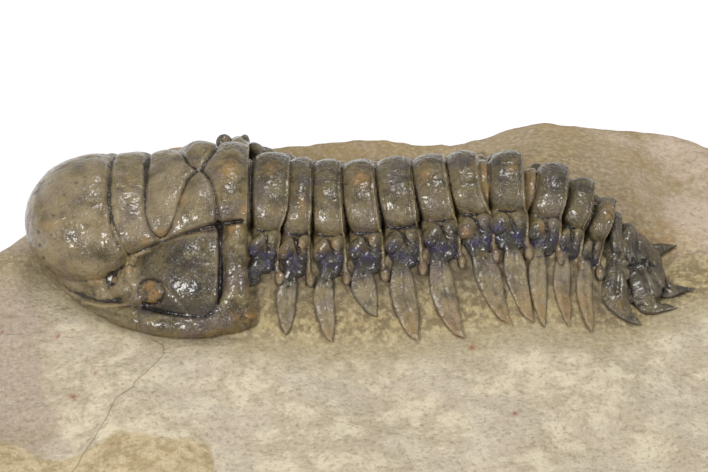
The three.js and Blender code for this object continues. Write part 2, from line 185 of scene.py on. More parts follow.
# The stone's surface, as in the solids.
def bed(x, y):
    head = -1 * ramp(22, 38, -x)
    tail = -1.2 * ramp(24, 36, x)
    cover = 2.4 * ramp(15, 24, x) * ramp(2, 8, y) * ramp(40, 33, x)
    far = ramp(12, 20, np.abs(y + 2))
    waves = 0.35 * np.sin(0.13 * x + 1) * np.cos(0.15 * y) - 0.25 * np.sin(0.31 * x + 0.2 * y)
    return head + tail - 2.3 + cover * (1 - 0.6 * ramp(14, 24, y)) + waves * far


def ground(x, y):
    level = bed(x, y)
    across = y - through(AXIS_Y, x)
    shoulder = through(CORE_SHOULDER, x)
    drop = through(FAR_DROP, x) * ramp(0.3 * shoulder, shoulder, across)
    core = through(AXIS_Z, x) - CORE_DEPTH - drop - level
    fall = ramp(shoulder - 1, through(CORE_FOOT, x) + 0.4, np.abs(across))
    return level + np.maximum(0, core) * (1 - fall)


class Clay:
    """A block of signed distances, negative inside, that shapes are added to and carved from."""

    def __init__(self, low, high, cell=CELL):
        self.cell = cell
        self.axes = [np.arange(a, b, cell) for a, b in zip(low, high)]
        self.field = np.full([len(axis) for axis in self.axes], 3, np.float32)
        self.sink = np.zeros_like(self.field)

    def window(self, low, high):
        cut = tuple(slice(*np.searchsorted(axis, (a, b))) for axis, a, b in zip(self.axes, low, high))
        return cut, np.meshgrid(*(axis[c] for axis, c in zip(self.axes, cut)), indexing="ij", sparse=True)

    def add(self, shape, blend=0.0):
        (low, high), distance = shape
        cut, (x, y, z) = self.window(np.subtract(low, 0.5 + blend), np.add(high, 0.5 + blend))
        self.field[cut] = soft_min(self.field[cut], distance(x, y, z), blend)

    def groove(self, points, half_width, depth):
        """Sinks the surface along a line of points, or the near side along (x, height in the photograph)."""
        line = smooth_line(points, 4)
        seen = line.shape[1] == 2
        reach = 2.2 * half_width + (0 if seen else 0.3)
        for a, b in zip(line[:-1], line[1:]):
            low, high = np.minimum(a, b) - reach, np.maximum(a, b) + reach
            if seen:
                low, high = (low[0], -99, -99), (high[0], -2, 99)
            cut, (x, y, z) = self.window(low, high)
            offset = nearest(a, b, (x, seen_height(y, z)) if seen else (x, y, z))[1]
            away = np.sqrt(sum(o * o for o in offset))
            self.sink[cut] = np.maximum(self.sink[cut], depth * bump(away, 0, half_width))

    def settle(self):
        """Applies the grooves drawn so far, so that their overlaps are not counted twice."""
        self.field += self.sink
        self.sink[:] = 0

    def trim(self):
        """Leaves only what stands above the stone, down to SUNK under its surface."""
        x, y, z = np.meshgrid(*self.axes, indexing="ij", sparse=True)
        self.field = np.maximum(self.field, ground(x, y) - SUNK - z)

    def skin(self):
        """The surface as points and four-sided faces, the largest piece only."""
        inside = self.field < 0
        halves = (slice(None, -1), slice(1, None))
        count = sum(inside[halves[i], halves[j], halves[k]].astype(np.uint8) for i, j, k in CUBE)
        active = (count > 0) & (count < 8)
        cells = np.argwhere(active)
        number = np.full(active.shape, -1, np.int64)
        number[active] = np.arange(len(cells))
        values = [self.field[tuple((cells + corner).T)] for corner in CUBE]
        total = np.zeros((len(cells), 3))
        hits = np.zeros(len(cells))
        for a, b in CUBE_EDGES:
            crossed = (values[a] < 0) != (values[b] < 0)
            share = values[a][crossed] / (values[a][crossed] - values[b][crossed])
            start, end = np.array(CUBE[a]), np.array(CUBE[b])
            total[crossed] += start + share[:, None] * (end - start)
            hits[crossed] += 1
        origin = np.array([axis[0] for axis in self.axes])
        points = origin + (cells + total / hits[:, None]) * self.cell
        faces = []
        for axis in range(3):
            one, two = [k for k in range(3) if k != axis]
            lower = inside.take(range(inside.shape[axis] - 1), axis)
            upper = inside.take(range(1, inside.shape[axis]), axis)
            places = np.argwhere(lower != upper)
            places = places[(places[:, one] > 0) & (places[:, two] > 0)]
            places = places[(places[:, one] < number.shape[one]) & (places[:, two] < number.shape[two])]
            around = np.zeros((4, 1, 3), int)
            around[:, 0, one], around[:, 0, two] = (0, 1, 1, 0), (0, 0, 1, 1)
            quad = number[tuple((places - around).T)]
            turned = lower[tuple(places.T)] == (axis == 1)
            quad[turned] = quad[turned][:, ::-1]
            faces.append(quad)
        return largest_piece(points, np.concatenate(faces))


CUBE = list(itertools.product((0, 1), repeat=3))
CUBE_EDGES = [
    (a, b) for a, b in itertools.combinations(range(8), 2)
    if sum(p != q for p, q in zip(CUBE[a], CUBE[b])) == 1
]


def edges_of(faces):
    return np.concatenate([faces[:, [k, (k + 1) % 4]] for k in range(4)])


def largest_piece(points, faces):
    """Drops crumbs: keeps the connected piece with the most points."""
    edges = edges_of(faces)
    label = np.arange(len(points))
    while True:
        lowest = label.copy()
        np.minimum.at(lowest, edges[:, 0], label[edges[:, 1]])
        np.minimum.at(lowest, edges[:, 1], label[edges[:, 0]])
        lowest = lowest[lowest]
        if (lowest == label).all():
            break
        label = lowest
    kept = label == np.bincount(label).argmax()
    renumber = np.cumsum(kept) - 1
    return points[kept], renumber[faces[kept[faces[:, 0]]]]


def relaxed(points, faces, rounds):
    """Each point moved towards the middle of its neighbours, `rounds` times."""
    edges = edges_of(faces)
    ends = np.concatenate([edges[:, 0], edges[:, 1]])
    others = np.concatenate([edges[:, 1], edges[:, 0]])
    weight = np.bincount(ends, minlength=len(points))[:, None]
    for _ in range(rounds):
        middle = np.stack(
            [np.bincount(ends, points[others, k], minlength=len(points)) for k in range(points.shape[1])], 1
        )
        points = 0.5 * points + 0.5 * middle / weight
    return points


def normals_of(points, faces):
    across = np.cross(points[faces[:, 2]] - points[faces[:, 0]], points[faces[:, 3]] - points[faces[:, 1]])
    normals = np.zeros_like(points)
    for k in range(4):
        for axis in range(3):
            normals[:, axis] += np.bincount(faces[:, k], across[:, axis], minlength=len(points))
    return normals / np.maximum(np.linalg.norm(normals, axis=1), 1e-9)[:, None]


def nearest(a, b, place):
    """For each place, its share of the way from a to b and its offset from the nearest point of that line."""
    along = b - a
    length = float(along @ along) or 1e-9
    share = sum((p - s) * d for p, s, d in zip(place, a, along)) / length
    share = np.clip(share, 0, 1)
    return share, [p - (s + share * d) for p, s, d in zip(place, a, along)]


def smooth_line(stations, refine):
    """Catmull-Rom points through stations of any number of values."""
    stations = np.array(stations, float)
    padded = np.concatenate([2 * stations[:1] - stations[1:2], stations, 2 * stations[-1:] - stations[-2:-1]])
    line = []
    for p0, p1, p2, p3 in zip(padded[:-3], padded[1:-2], padded[2:-1], padded[3:]):
        for t in np.arange(refine) / refine:
            line.append(
                0.5 * (2 * p1 + (p2 - p0) * t + (2 * p0 - 5 * p1 + 4 * p2 - p3) * t**2
                       + (3 * p1 - p0 - 3 * p2 + p3) * t**3)
            )
    return np.array(line + [stations[-1]])


def ellipsoid(centre, radii, turn=0.0):
    """An ellipsoid turned about the vertical, as its box and its distance."""
    cos, sin = math.cos(turn), math.sin(turn)
    reach = max(radii)

    def distance(x, y, z):
        x, y, z = x - centre[0], y - centre[1], z - centre[2]
        across, along = x * cos + y * sin, y * cos - x * sin
        return rounded((across, along, z), radii)

    return (np.subtract(centre, reach), np.add(centre, reach)), distance


def rounded(offsets, radii, power=2.0):
    """About the distance to a rounded form with those radii."""
    if power == 2.0:
        share = np.sqrt(sum((o / r) ** 2 for o, r in zip(offsets, radii)))
    else:
        share = sum(np.abs(o / r) ** power for o, r in zip(offsets, radii)) ** (1 / power)
    slope = np.sqrt(sum((o / r**2) ** 2 for o, r in zip(offsets, radii)))
    return share * (share - 1) / np.maximum(slope, 1e-6)


def unit(v):
    return v / max(np.linalg.norm(v), 1e-9)


def bar(clay, stations, side=None, blend=0.0, power=2.0, refine=6):
    """Adds a bar through stations (x, y, z, half-width, half-thickness), its width along `side`."""
    line = smooth_line(stations, refine)
    reach = line[:, 3:].max() + 0.5 + blend
    cut = clay.window(line[:, :3].min(0) - reach, line[:, :3].max(0) + reach)[0]
    own = np.full(clay.field[cut].shape, 3, np.float32)
    for a, b in zip(line[:-1], line[1:]):
        tangent = unit(b[:3] - a[:3])
        if side is None:
            thick = unit(np.array([0, 0, 1]) - tangent * tangent[2])
        else:
            thick = unit(np.cross(side, tangent))
        wide = np.cross(tangent, thick)
        reach = max(a[3:].max(), b[3:].max()) + 0.5 + blend
        here, place = clay.window(np.minimum(a[:3], b[:3]) - reach, np.maximum(a[:3], b[:3]) + reach)
        share, offset = nearest(a[:3], b[:3], place)
        half_width = a[3] + share * (b[3] - a[3])
        half_thick = a[4] + share * (b[4] - a[4])
        parts = [sum(o * d for o, d in zip(offset, axis)) for axis in (wide, thick, tangent)]
        found = rounded(parts, (half_width, half_thick, np.minimum(half_width, half_thick)), power)
        inner = tuple(slice(h.start - c.start, h.stop - c.start) for h, c in zip(here, cut))
        own[inner] = np.minimum(own[inner], found)
    clay.field[cut] = soft_min(clay.field[cut], own, blend)


# The thorax.
def segment_frame(i):
    """The middle, directions and sizes of thoracic segment i, as in the solids."""
    x = SEGMENTS[i][0]
    before = x - SEGMENTS[i - 1][0] if i else 3.4
    after = SEGMENTS[i + 1][0] - x if i < len(SEGMENTS) - 1 else 2.1
    turn = 0.5 * math.atan((through(AXIS_Y, x + 2) - through(AXIS_Y, x - 2)) / 4)
    dive = 0.45 * math.atan((through(AXIS_Z, x - 2) - through(AXIS_Z, x + 2)) / 4)
    share = i / (len(SEGMENTS) - 1)
    half_span = 6.55 * (1 - 0.44 * share**1.5)
    return SimpleNamespace(
        centre=np.array([x, through(AXIS_Y, x), through(AXIS_Z, x)]),
        back=np.array([math.cos(turn) * math.cos(dive), math.sin(turn), -math.sin(dive)]),
        across=np.array([-math.sin(turn), math.cos(turn), 0]),
        up=np.array([math.sin(dive), 0, math.cos(dive)]),
        half_span=half_span,
        rise=4.3 - 1.1 * share**2,
        pleura=2.5 + 0.35 * half_span,
        half_length=0.22 * (before + after),
        ring=RINGS[i],
    )


def local(f, place):
    """How far places lie behind a segment's middle, across it and above its furrows."""
    offset = [p - c for p, c in zip(place, f.centre)]
    return [sum(o * d for o, d in zip(offset, axis)) for axis in (f.back, f.across, f.up)]


# A ring's section along the body: [share of the half-length behind its middle, how far it is sunk].
RING_PROFILE = [
    (-2.1, 2.4), (-1.8, 1.35), (-1.5, 1.05), (-1.2, 1.05), (-1.07, 1.5), (-1.0, 1.0), (-0.88, 0.55),
    (-0.6, 0.25), (-0.25, 0.06), (0.15, -0.04), (0.55, 0), (0.76, 0.1), (0.83, 0.3), (0.89, 0.22),
    (0.95, 0.12), (1.02, 0.2), (1.07, 0.9),
]
# How far behind its pleurae each ring's crest lies, and the ring's half-length there.
RINGS = [
    (0.25, 2.15), (0.3, 1.4), (-0.2, 1.7), (-0.4, 1.85), (-0.3, 2.05), (-0.5, 1.9), (-0.8, 1.75), (-0.2, 1.9),
    (0.5, 1.7), (0.45, 1.42), (0.4, 1.1),
]


def ring_share(f, back, up):
    """How far behind the ring's middle places lie, as a share of its half-length."""
    lift = ramp(-0.5, 0.8 * f.rise, up)
    half = f.half_length + (f.ring[1] - f.half_length) * lift
    return (back - f.ring[0] * lift) / half


def ring(f):
    """The axial ring with its half-ring, as its box and its distance."""
    places, sunk = np.array(RING_PROFILE).T
    reach = f.half_span + 0.5

    def distance(x, y, z):
        back, across, up = local(f, (x, y, z))
        share = ring_share(f, back, up)
        low = np.interp(share + 0.12 * (1 - (across / f.half_span) ** 2), places, sunk)
        body = rounded((across, up), (f.half_span - low, f.rise - low), 2.3)
        ends = np.maximum(share - 1.06, -1.95 - share) * f.half_length
        return np.maximum(body, ends)

    return (f.centre - (5, reach, reach), f.centre + (3.2, reach, reach)), distance


# The knob behind each waist: how far out from its middle, half-width, half-thickness.
KNOB_SHAPE = [(-1.7, 0.15, 0.2), (-0.8, 0.42, 0.5), (0.1, 0.68, 0.65), (0.8, 0.5, 0.5), (1.3, 0.15, 0.2)]


def pleura(clay, f, side, spine):
    """One side of a segment: the inner block with its two swellings, the waist and the free spine."""
    x = f.centre[0]
    span, width, length = f.half_span, f.pleura, f.half_length
    drop = float(through(FAR_DROP, x)) if side > 0 else 0.0
    waist = span + width
    lean = 0.4 * (spine[0] - x) if side > 0 and spine else 0.0

    def at(back, out, up):
        across = side * (span + out * width)
        return f.centre + (back * length + lean) * f.back + across * f.across + (up - drop) * f.up

    block = [
        (*at(0, -0.25, -0.9), 1.1 * length, 1.2), (*at(0, 0.25, -0.9), 1.1 * length, 1.15),
        (*at(0, 0.6, -1.15), 1.06 * length, 1), (*at(0.05, 0.92, -2), 0.72 * length, 0.8),
    ]
    bar(clay, block, f.back, power=2.6)
    clay.add(ellipsoid(at(-0.46, 0.46, -0.3), (0.62 * length, 0.46 * width, 0.98), side * 0.4), 0.12)
    clay.add(ellipsoid(at(0.5, 0.32, -0.2), (0.58 * length, 0.36 * width, 0.98), side * 0.4), 0.12)
    clay.groove([at(-0.35, 0, 0.3), at(0.05, 0.35, 0.25), at(0.4, 0.78, -0.3)], 0.24, 0.7)
    clay.groove([at(-1, 0.02, 0.3), at(0, 0.02, 0.3), at(1, -0.02, 0.3)], 0.26, 0.6)
    clay.settle()
    if side > 0 and not spine:
        return
    knob = at(1.14, 1.05, 0)
    knob[2] = float(ground(*knob[:2])) + 0.2
    flange = [
        (*at(1.0, 0.1, -1.3), 0.3, 0.9), (*at(1.0, 0.6, -1.8), 0.35, 0.9),
        (*(knob - (0.2, 0, 0.75)), 0.75, 0.7),
    ]
    bar(clay, flange, f.back, blend=0.15)
    seam = [
        (*at(1.0, -0.12, 0.1), 0.13, 0.2), (*at(1.06, 0.3, -0.1), 0.12, 0.2),
        (*at(1.1, 0.62, -0.6), 0.12, 0.2), (*(knob - (0, side * 1.5, -0.3)), 0.15, 0.25),
    ]
    bar(clay, seam, f.back, blend=0.1)
    drop_shape = [(*(knob + (0, side * along, -0.12 * along)), w, t) for along, w, t in KNOB_SHAPE]
    bar(clay, drop_shape, blend=0.08)
    neck, blade, tip, tip_y = spine
    neck_y = f.centre[1] + side * (waist + 0.2)
    heft = math.sqrt(length / 1.9) * (BLADE_WIDTHS.get(round(x, 1), 1) if side < 0 else 1)
    stations = [(*at(0, 0.8, -1.2), 0.75 * length, 0.7)]
    free = (
        (neck, 0, 0.95, 0.6), (0.5 * neck + 0.5 * blade, 0.14, 1.38, 0.5), (blade, 0.36, 1.52, 0.46),
        (0.65 * blade + 0.35 * tip, 0.64, 1.18, 0.4), (0.35 * blade + 0.65 * tip, 0.85, 0.66, 0.3),
        (tip, 1, 0.12, 0.1),
    )
    for place, share, half_width, half_thick in free:
        y = neck_y + (tip_y - neck_y) * share
        stations.append((place, y, float(ground(place, y)) + 0.32, half_width * heft, half_thick))
    bar(clay, stations, f.back, blend=0.1, power=2.5, refine=8)
    clay.groove([(s[0] + 0.15, s[1], s[2] + s[4]) for s in stations[2:-1]], 0.22, 0.16)
    clay.settle()


def thoracic_segment(i):
    f = segment_frame(i)
    x, neck, blade, tip, tip_y = SEGMENTS[i]
    foot = float(through(CORE_FOOT, x))
    axis = float(through(AXIS_Y, x))
    low = (x - 5.2, min(tip_y, axis - foot) - 1, -4)
    high = (max(x + 2, tip, x + 2.6) + 2.2, axis + foot + 1, f.centre[2] + f.rise + 1)
    clay = Clay(low, high)
    pleura(clay, f, -1, (neck, blade, tip, tip_y))
    forward = 0 if i else 1.5
    pleura(clay, f, 1, (x - forward, x + 0.4, x + 2, axis + foot) if i < FAR_SPINES else None)
    clay.add(ring(f), 0.1)
    clay.trim()
    points, faces = clay.skin()
    points = wrinkled(points, faces, i)
    back, across, up = local(f, points.T)
    share = ring_share(f, back, up)
    on_ring = ramp(0, 0.3, f.half_span + 0.1 - np.abs(across)) * ramp(-0.5, 0.3, up)
    outward = (np.abs(across) - f.half_span) / f.pleura
    low_band = ramp(0.05, 0.2, outward) * ramp(1.05, 0.85, outward)
    place = back / f.half_length
    # Painted shade and painted highlight: the ring's crest is painted darker and its lower flank lighter.
    crest = on_ring * ramp(0.5, 1.0, up / f.rise)
    half_ring = (0.75 if i in OCHRE_RINGS else 0.15) * on_ring * ramp(-1.05, -1.2, share)
    # Painted shade: sides that turn steep near the stone are painted darker.
    steep = ramp(0.8, 0.35, normals_of(points, faces)[:, 2]) * ramp(1.0, 1.25, outward)
    paint = {
        "gold": 0.7 * bump(share, 0.96, 0.055) * on_ring + 0.8 * bump(place, 1.08, 0.09) * low_band
        + 0.35 * half_ring,
        "ochre": spots(points, THORAX_SPOTS) + 0.5 * ramp(1.8, 2.4, outward) + half_ring
        + 0.5 * bump(place, 1.14, 0.35) * bump(outward, 1.16, 0.25),
        # Dark shell colour at the waist and on the later rings, with painted shade behind each segment's back
        # edge, on the half-ring under the segment ahead, on steep sides by the stone and at the crest.
        "dark": 0.12 + 1.3 * bump(outward, 0.92, 0.3) * ramp(1.05, 0.85, place)
        + 1.1 * bump(place, 1.05, 0.35) * bump(outward, 0.7, 0.4) + (0.4 if i > 6 else 0.1) * on_ring
        - 0.5 * ramp(1.2, 1.5, outward) + 0.5 * (on_ring - half_ring) * ramp(-1.0, -1.1, share)
        + 1.1 * steep + 0.22 * crest,
        "dry": ramp(1.1, 1.4, outward) - 0.35 * bump(outward, 0.7, 0.4),
        # Pale wear on the blade tips, and a painted highlight on the ring's lower flank.
        "wear_and_highlight": ramp(1.15, 1.5, outward) * (0.3 + 0.35 * noise(points, 0.9, i + 80))
        + 0.4 * on_ring * (1 - crest) * ramp(0.1, 1.2, up),
        "violet": 0.95 * bump(outward, 0.84, 0.22),
    }
    return points, faces, paint


OCHRE_RINGS = (7, 8)  # segments, counted from 0, whose half-ring is ochre
THORAX_SPOTS = [
    (0.8, 7, 1.2, 1.3, 0.9), (8.5, 7.5, 0.7, 1, 0.8), (19, 8.2, 0.7, 0.9, 0.6), (30.5, 2.8, 0.6, 1.2, 1),
    (13.3, 0.5, 0.7, 0.7, 0.9), (-6.2, 4, 0.4, 1.2, 0.7), (-2.5, -0.8, 0.7, 0.7, 0.8),
    (-4.2, -1.6, 0.6, 0.6, 0.6), (-6.5, -1.2, 0.7, 0.7, 0.7), (1.9, -0.4, 0.6, 0.6, 0.5),
    (-8.5, -1.6, 0.5, 0.7, 0.6), (-10, 8, 0.8, 1, 0.5), (22.4, 1.1, 0.5, 0.8, 0.6),
    (14.5, 8.5, 0.6, 0.6, 0.4), (-9.5, 3, 0.5, 0.6, 0.5),
]


def wrinkled(points, faces, seed):
    """Fine unevenness of the shell, pressed along its normals."""
    normals = normals_of(points, faces)
    height = 0.09 * noise(points, 4.5, seed + 60) + 0.07 * noise(points, 2.2, seed)
    height += 0.03 * noise(points, 1.1, seed + 20)
    height -= 0.05 * bump(noise(points * (1, 0.7, 1), 1.6, seed + 40), 0, 0.07)
    return points + normals * height[:, None]


# The head shield.
# The glabella behind the frontal lobe: half-width, height over its furrows and their level, along x.
GLABELLA_WIDTH = [
    (-30.8, 8.4), (-29, 9.1), (-26.8, 8.8), (-24.7, 8.45), (-21.8, 8), (-18.6, 7.6), (-15.6, 7.35),
    (-12.6, 7.1),
]
GLABELLA_RISE = [
    (-30.8, 4.8), (-29, 4.85), (-26.8, 4), (-24.7, 3.95), (-21.8, 4), (-18.6, 3.95), (-15.6, 3.7),
    (-13.9, 3.6), (-12.6, 3),
]
GLABELLA_BASE = [
    (-30.8, 3.4), (-29, 4.2), (-26.8, 4.85), (-24.7, 5.2), (-21.8, 5.7), (-18.6, 6.6), (-15.6, 7.5),
    (-12.6, 7.4),
]
FRONTAL_AT = (-30.8, 0, 2.4)
FRONTAL_RADII = (8.6, 9.6, 7)
# The furrows over the glabella: x at angles in degrees from the crest down to the axial furrow.
FURROW_3 = [(0, -28.95), (25, -29), (43, -28.7), (63, -27.8), (80, -26.6), (100, -25.6)]
FURROW_2 = [(0, -24.7), (18, -24.8), (47, -24.7), (68, -24.1), (81, -23.5), (100, -22.2)]
FURROW_1 = [(0, -18.5), (13, -19.7), (37, -20.5), (62, -21.2), (79, -21.8), (100, -23)]
OCCIPITAL_FURROW = [(0, -18.1), (24, -16.9), (49, -16.3), (88, -16), (100, -16)]
HEAD_BORDER = [
    (-37.4, 0, -2.9, 0.9), (-36.2, 3.2, -2.9, 0.9), (-33.4, 7.5, -2.6, 1), (-30.6, 10.3, -2.3, 1.2),
    (-27.6, 12.7, -1.9, 1.4), (-24, 14.7, -1.4, 1.6), (-20.6, 15.7, -1.1, 1.7), (-17.4, 15.9, -0.8, 1.7),
    (-15, 15, -0.4, 1.6),
]
HEAD_LOW, HEAD_HIGH = (-39.6, -18.2, -4.6), (-10, 18.2, 12.4)


def glabella(x, y, z):
    """The lobed middle of the head behind the frontal lobe."""
    width, rise, base = (through(k, x) for k in (GLABELLA_WIDTH, GLABELLA_RISE, GLABELLA_BASE))
    above = z - base
    rise = np.where(above > 0, rise, 7)
    body = rounded((y, above), (width, rise), 2.15)
    angle = np.degrees(np.arctan2(np.abs(y) / width, above / rise))
    for knots in (FURROW_2, FURROW_1, OCCIPITAL_FURROW):
        away = x - np.interp(angle, *np.array(knots).T)
        body = body + 0.5 * bump(away, 0, 0.27) + 0.32 * bump(away, 0, 1.1)
    far_lobe = 0.5 * bump(x, -19, 1.8) * ramp(2, 5, y)
    return np.maximum(np.maximum(body - far_lobe, x + 12.6), -29.8 - x)


def past_furrow_3(place):
    """How far places lie behind the furrow at the frontal lobe's end, and their angle from its crest."""
    _, side, up = [(p - c) / r for p, c, r in zip(place, FRONTAL_AT, FRONTAL_RADII)]
    angle = np.degrees(np.arctan2(np.abs(side), up))
    return place[0] - np.interp(angle, *np.array(FURROW_3).T), angle


def frontal_lobe(*place):
    offsets = [p - c for p, c in zip(place, FRONTAL_AT)]
    return -soft_min(-rounded(offsets, FRONTAL_RADII), -past_furrow_3(place)[0], 0.6)


def third_furrow(*place):
    """How far the surface sinks at the furrow behind the frontal lobe."""
    away, angle = past_furrow_3(place)
    return (0.4 * bump(away, 0, 0.28) + 0.3 * bump(away, 0, 1.1)) * ramp(110, 95, angle)


def mirrored(side, stations, lift=0.0):
    """Stations that are written for the far side, set on the given side and lifted."""
    return [(x, side * y, z + lift, *sizes) for x, y, z, *sizes in stations]


def cheek(clay, side):
    lift = -2.2 if side > 0 else 0.0

    def dome(x, y, z):
        ahead = np.where(x < -16.6, 10.4, 6)
        body = rounded((x + 16.6, y - side * 7.8, z - 0.1 - lift), (ahead, 8.3, 6.5))
        return np.maximum(body, x + 15.7)

    clay.add((((-27.5, min(0, side * 17), -5), (-15.2, max(0, side * 17), 7.5)), dome), 0.25)
    skirt = [
        (-36, 2.4, -1.6, 2.1, 2.1), (-33.6, 5.2, -1.2, 2.7, 2.7), (-30.6, 6.8, -0.9, 2.9, 2.9),
        (-27.9, 7.4, -0.5, 2.5, 2.5),
    ]
    bar(clay, mirrored(side, skirt), blend=0.5)
    clay.add(ellipsoid((-25.4, side * 9.6, 0.5 * lift), (3.2, 3.6, 3.2)), 0.4)
    hind = mirrored(side, [
        (-13.9, 6, 6.6, 1.35, 1.1), (-13.9, 9, 6.3, 1.35, 1.15), (-13.9, 11.8, 4.6, 1.4, 1.15),
        (-13.9, 14, 2.1, 1.8, 1.2), (-14.3, 15.1, -0.4, 3, 1.2),
    ])
    bar(clay, [(x - 1.2, y * 0.985, z - 0.75, w, t) for x, y, z, w, t in hind], BACK, blend=0.1)
    bar(clay, hind, BACK, blend=0.2)
    clay.add(ellipsoid((-15.4, side * 14.5, -0.7), (3.9, 2.1, 2.2)), 0.8)
    clay.add(ellipsoid((-23.9, side * 12.1, 1.1 + lift), (1.35, 1.15, 1.15)), 0.05)
    lid = [
        (-25.6, 11.9, 1.2, 0.4, 0.4), (-25.1, 11.1, 2.4, 0.45, 0.42), (-24, 10.8, 2.9, 0.5, 0.45),
        (-22.7, 11.1, 2.6, 0.45, 0.42), (-22.1, 12, 1.6, 0.35, 0.35),
    ]
    bar(clay, mirrored(side, lid, lift), blend=0.15)
    clay.add(ellipsoid((-26.5, side * 10.2, 2.8 + lift), (0.6, 0.9, 0.75)), 0.15)


# Lines on the near side of the head, as (x, height in the photograph).
AXIAL_FURROW = [
    (-26.8, -2.4), (-25.7, -1.9), (-24.2, -1.2), (-22.7, -0.8), (-20.9, 0), (-18.5, 0.8), (-16, 1.4),
    (-13.3, 1.8),
]
CHEEK_FURROW = [(-15.8, 1.4), (-15.6, -3.1), (-15.7, -6.5), (-16.1, -8)]
CHEEK_FOOT = [(-16.1, -8), (-16.6, -8.9), (-17.9, -9.6), (-20.3, -9.4), (-22.7, -9), (-24.5, -8.3)]
PIT_RING = [
    (-27.95, -5.05), (-28.25, -4.5), (-28.85, -4.4), (-29.2, -4.8), (-29.2, -5.4), (-28.8, -5.7),
    (-28.2, -5.6), (-27.95, -5.05),
]
HEALED_MARK = [(-37, 3), (-35.6, 3.7), (-34.3, 3.9), (-33.7, 3), (-34.1, 2), (-35.2, 1.5), (-36.4, 1.2)]
FRONT_FURROW = [
    (-38.2, -3.1), (-36.2, -4.8), (-34.1, -6.3), (-30.5, -7.7), (-27.5, -7.4), (-26.3, -6.5), (-27.4, -4.7),
    (-26.8, -2.6),
]
EYE_FURROW = [
    (-25.4, -6.9), (-25.1, -5.6), (-23.9, -5.1), (-22.7, -5.7), (-22.4, -7), (-23.4, -8), (-24.8, -7.9),
]
BORDER_LINES = [
    [(-36.9, -5.1), (-34.1, -7.1), (-30.5, -8.7), (-26.9, -9.6)], [(-35.3, -7), (-32.3, -8.7), (-29.3, -9.9)],
]
SUTURES = [
    [(-22.7, -5.6), (-21.1, -7.1), (-19.7, -8.9), (-18.5, -11)], [(-25.8, -8), (-25.3, -11)],
]
GOLD_LINES = [
    [(-28.7, 1.3), (-26.8, -2.6), (-24.1, -1.7)], [(-26.8, -2.6), (-27.4, -4.7)],
    [(-32.3, -7.9), (-29.5, -8.3), (-26.9, -8.1)],
]
FAINT_LINES = SUTURES + [[(-16.3, 0.5), (-16.2, -5), (-16.8, -7.8)], HEALED_MARK]
# Each groove of the head with its half-width and depth.
HEAD_GROOVES = [
    (AXIAL_FURROW, 0.25, 0.45), (CHEEK_FURROW, 0.28, 0.5), (CHEEK_FOOT, 0.26, 0.24), (EYE_FURROW, 0.22, 0.4),
    (FRONT_FURROW, 0.3, 0.22), (PIT_RING, 0.18, 0.14), (HEALED_MARK, 0.18, 0.1),
    *((line, 0.2, 0.18) for line in BORDER_LINES), *((line, 0.17, 0.16) for line in SUTURES),
]
HEAD_SPOTS = [
    (-14.9, 7.9, 1.1, 1.3, 0.9), (-12.9, 3.1, 0.4, 0.6, 1), (-14.3, 1, 0.9, 0.8, 0.9),
    (-20.1, 4.3, 0.5, 0.8, 0.6), (-22.7, 0.4, 0.7, 0.5, 1), (-24.7, -0.5, 0.4, 0.4, 0.9),
    (-36.5, 1.2, 1, 0.45, 1.1), (-30.5, -5.3, 0.7, 0.5, 0.7), (-28.6, -5.05, 0.42, 0.4, 1.8),
    (-26.5, -3.8, 0.5, 0.6, 0.9), (-23.9, -6.6, 1.2, 1, 1.3), (-24.4, -5.4, 0.6, 0.4, 0.8),
    (-12.6, -9.5, 1.5, 0.8, 1), (-15, -11.5, 2.5, 0.5, 0.6), (-24.3, -7.8, 0.8, 0.3, 0.7),
    (-26.8, 6.5, 0.6, 1, 0.4),
]
# Dark specks at the front of the head and on the cheek.
HEAD_PITS = [
    (-37.4, 0.5, 0.2, 0.25, 1), (-37.3, -1.1, 0.2, 0.2, 1), (-36.9, -2.6, 0.2, 0.2, 1),
    (-36.5, -3.8, 0.2, 0.2, 1), (-35.6, 2.4, 0.15, 0.2, 0.8), (-33, 6.3, 0.2, 0.15, 0.8),
    (-32, 7, 0.2, 0.15, 0.7), (-34.4, 4.9, 0.15, 0.15, 0.7),
    *((x, v, 0.14, 0.12, 1) for x, v in ((-19.3, -1.4), (-17.8, -1.6), (-18.3, -4.3))),
    *((x, v, 0.12, 0.12, 1) for x, v in (
        (-21.5, -1.3), (-20.4, -1.8), (-20.9, -2.8), (-18.9, -2.5), (-17.5, -3), (-19.9, -3.5),
        (-22.4, -2.4), (-17.2, -4.9), (-18.6, -0.2),
    )),
]


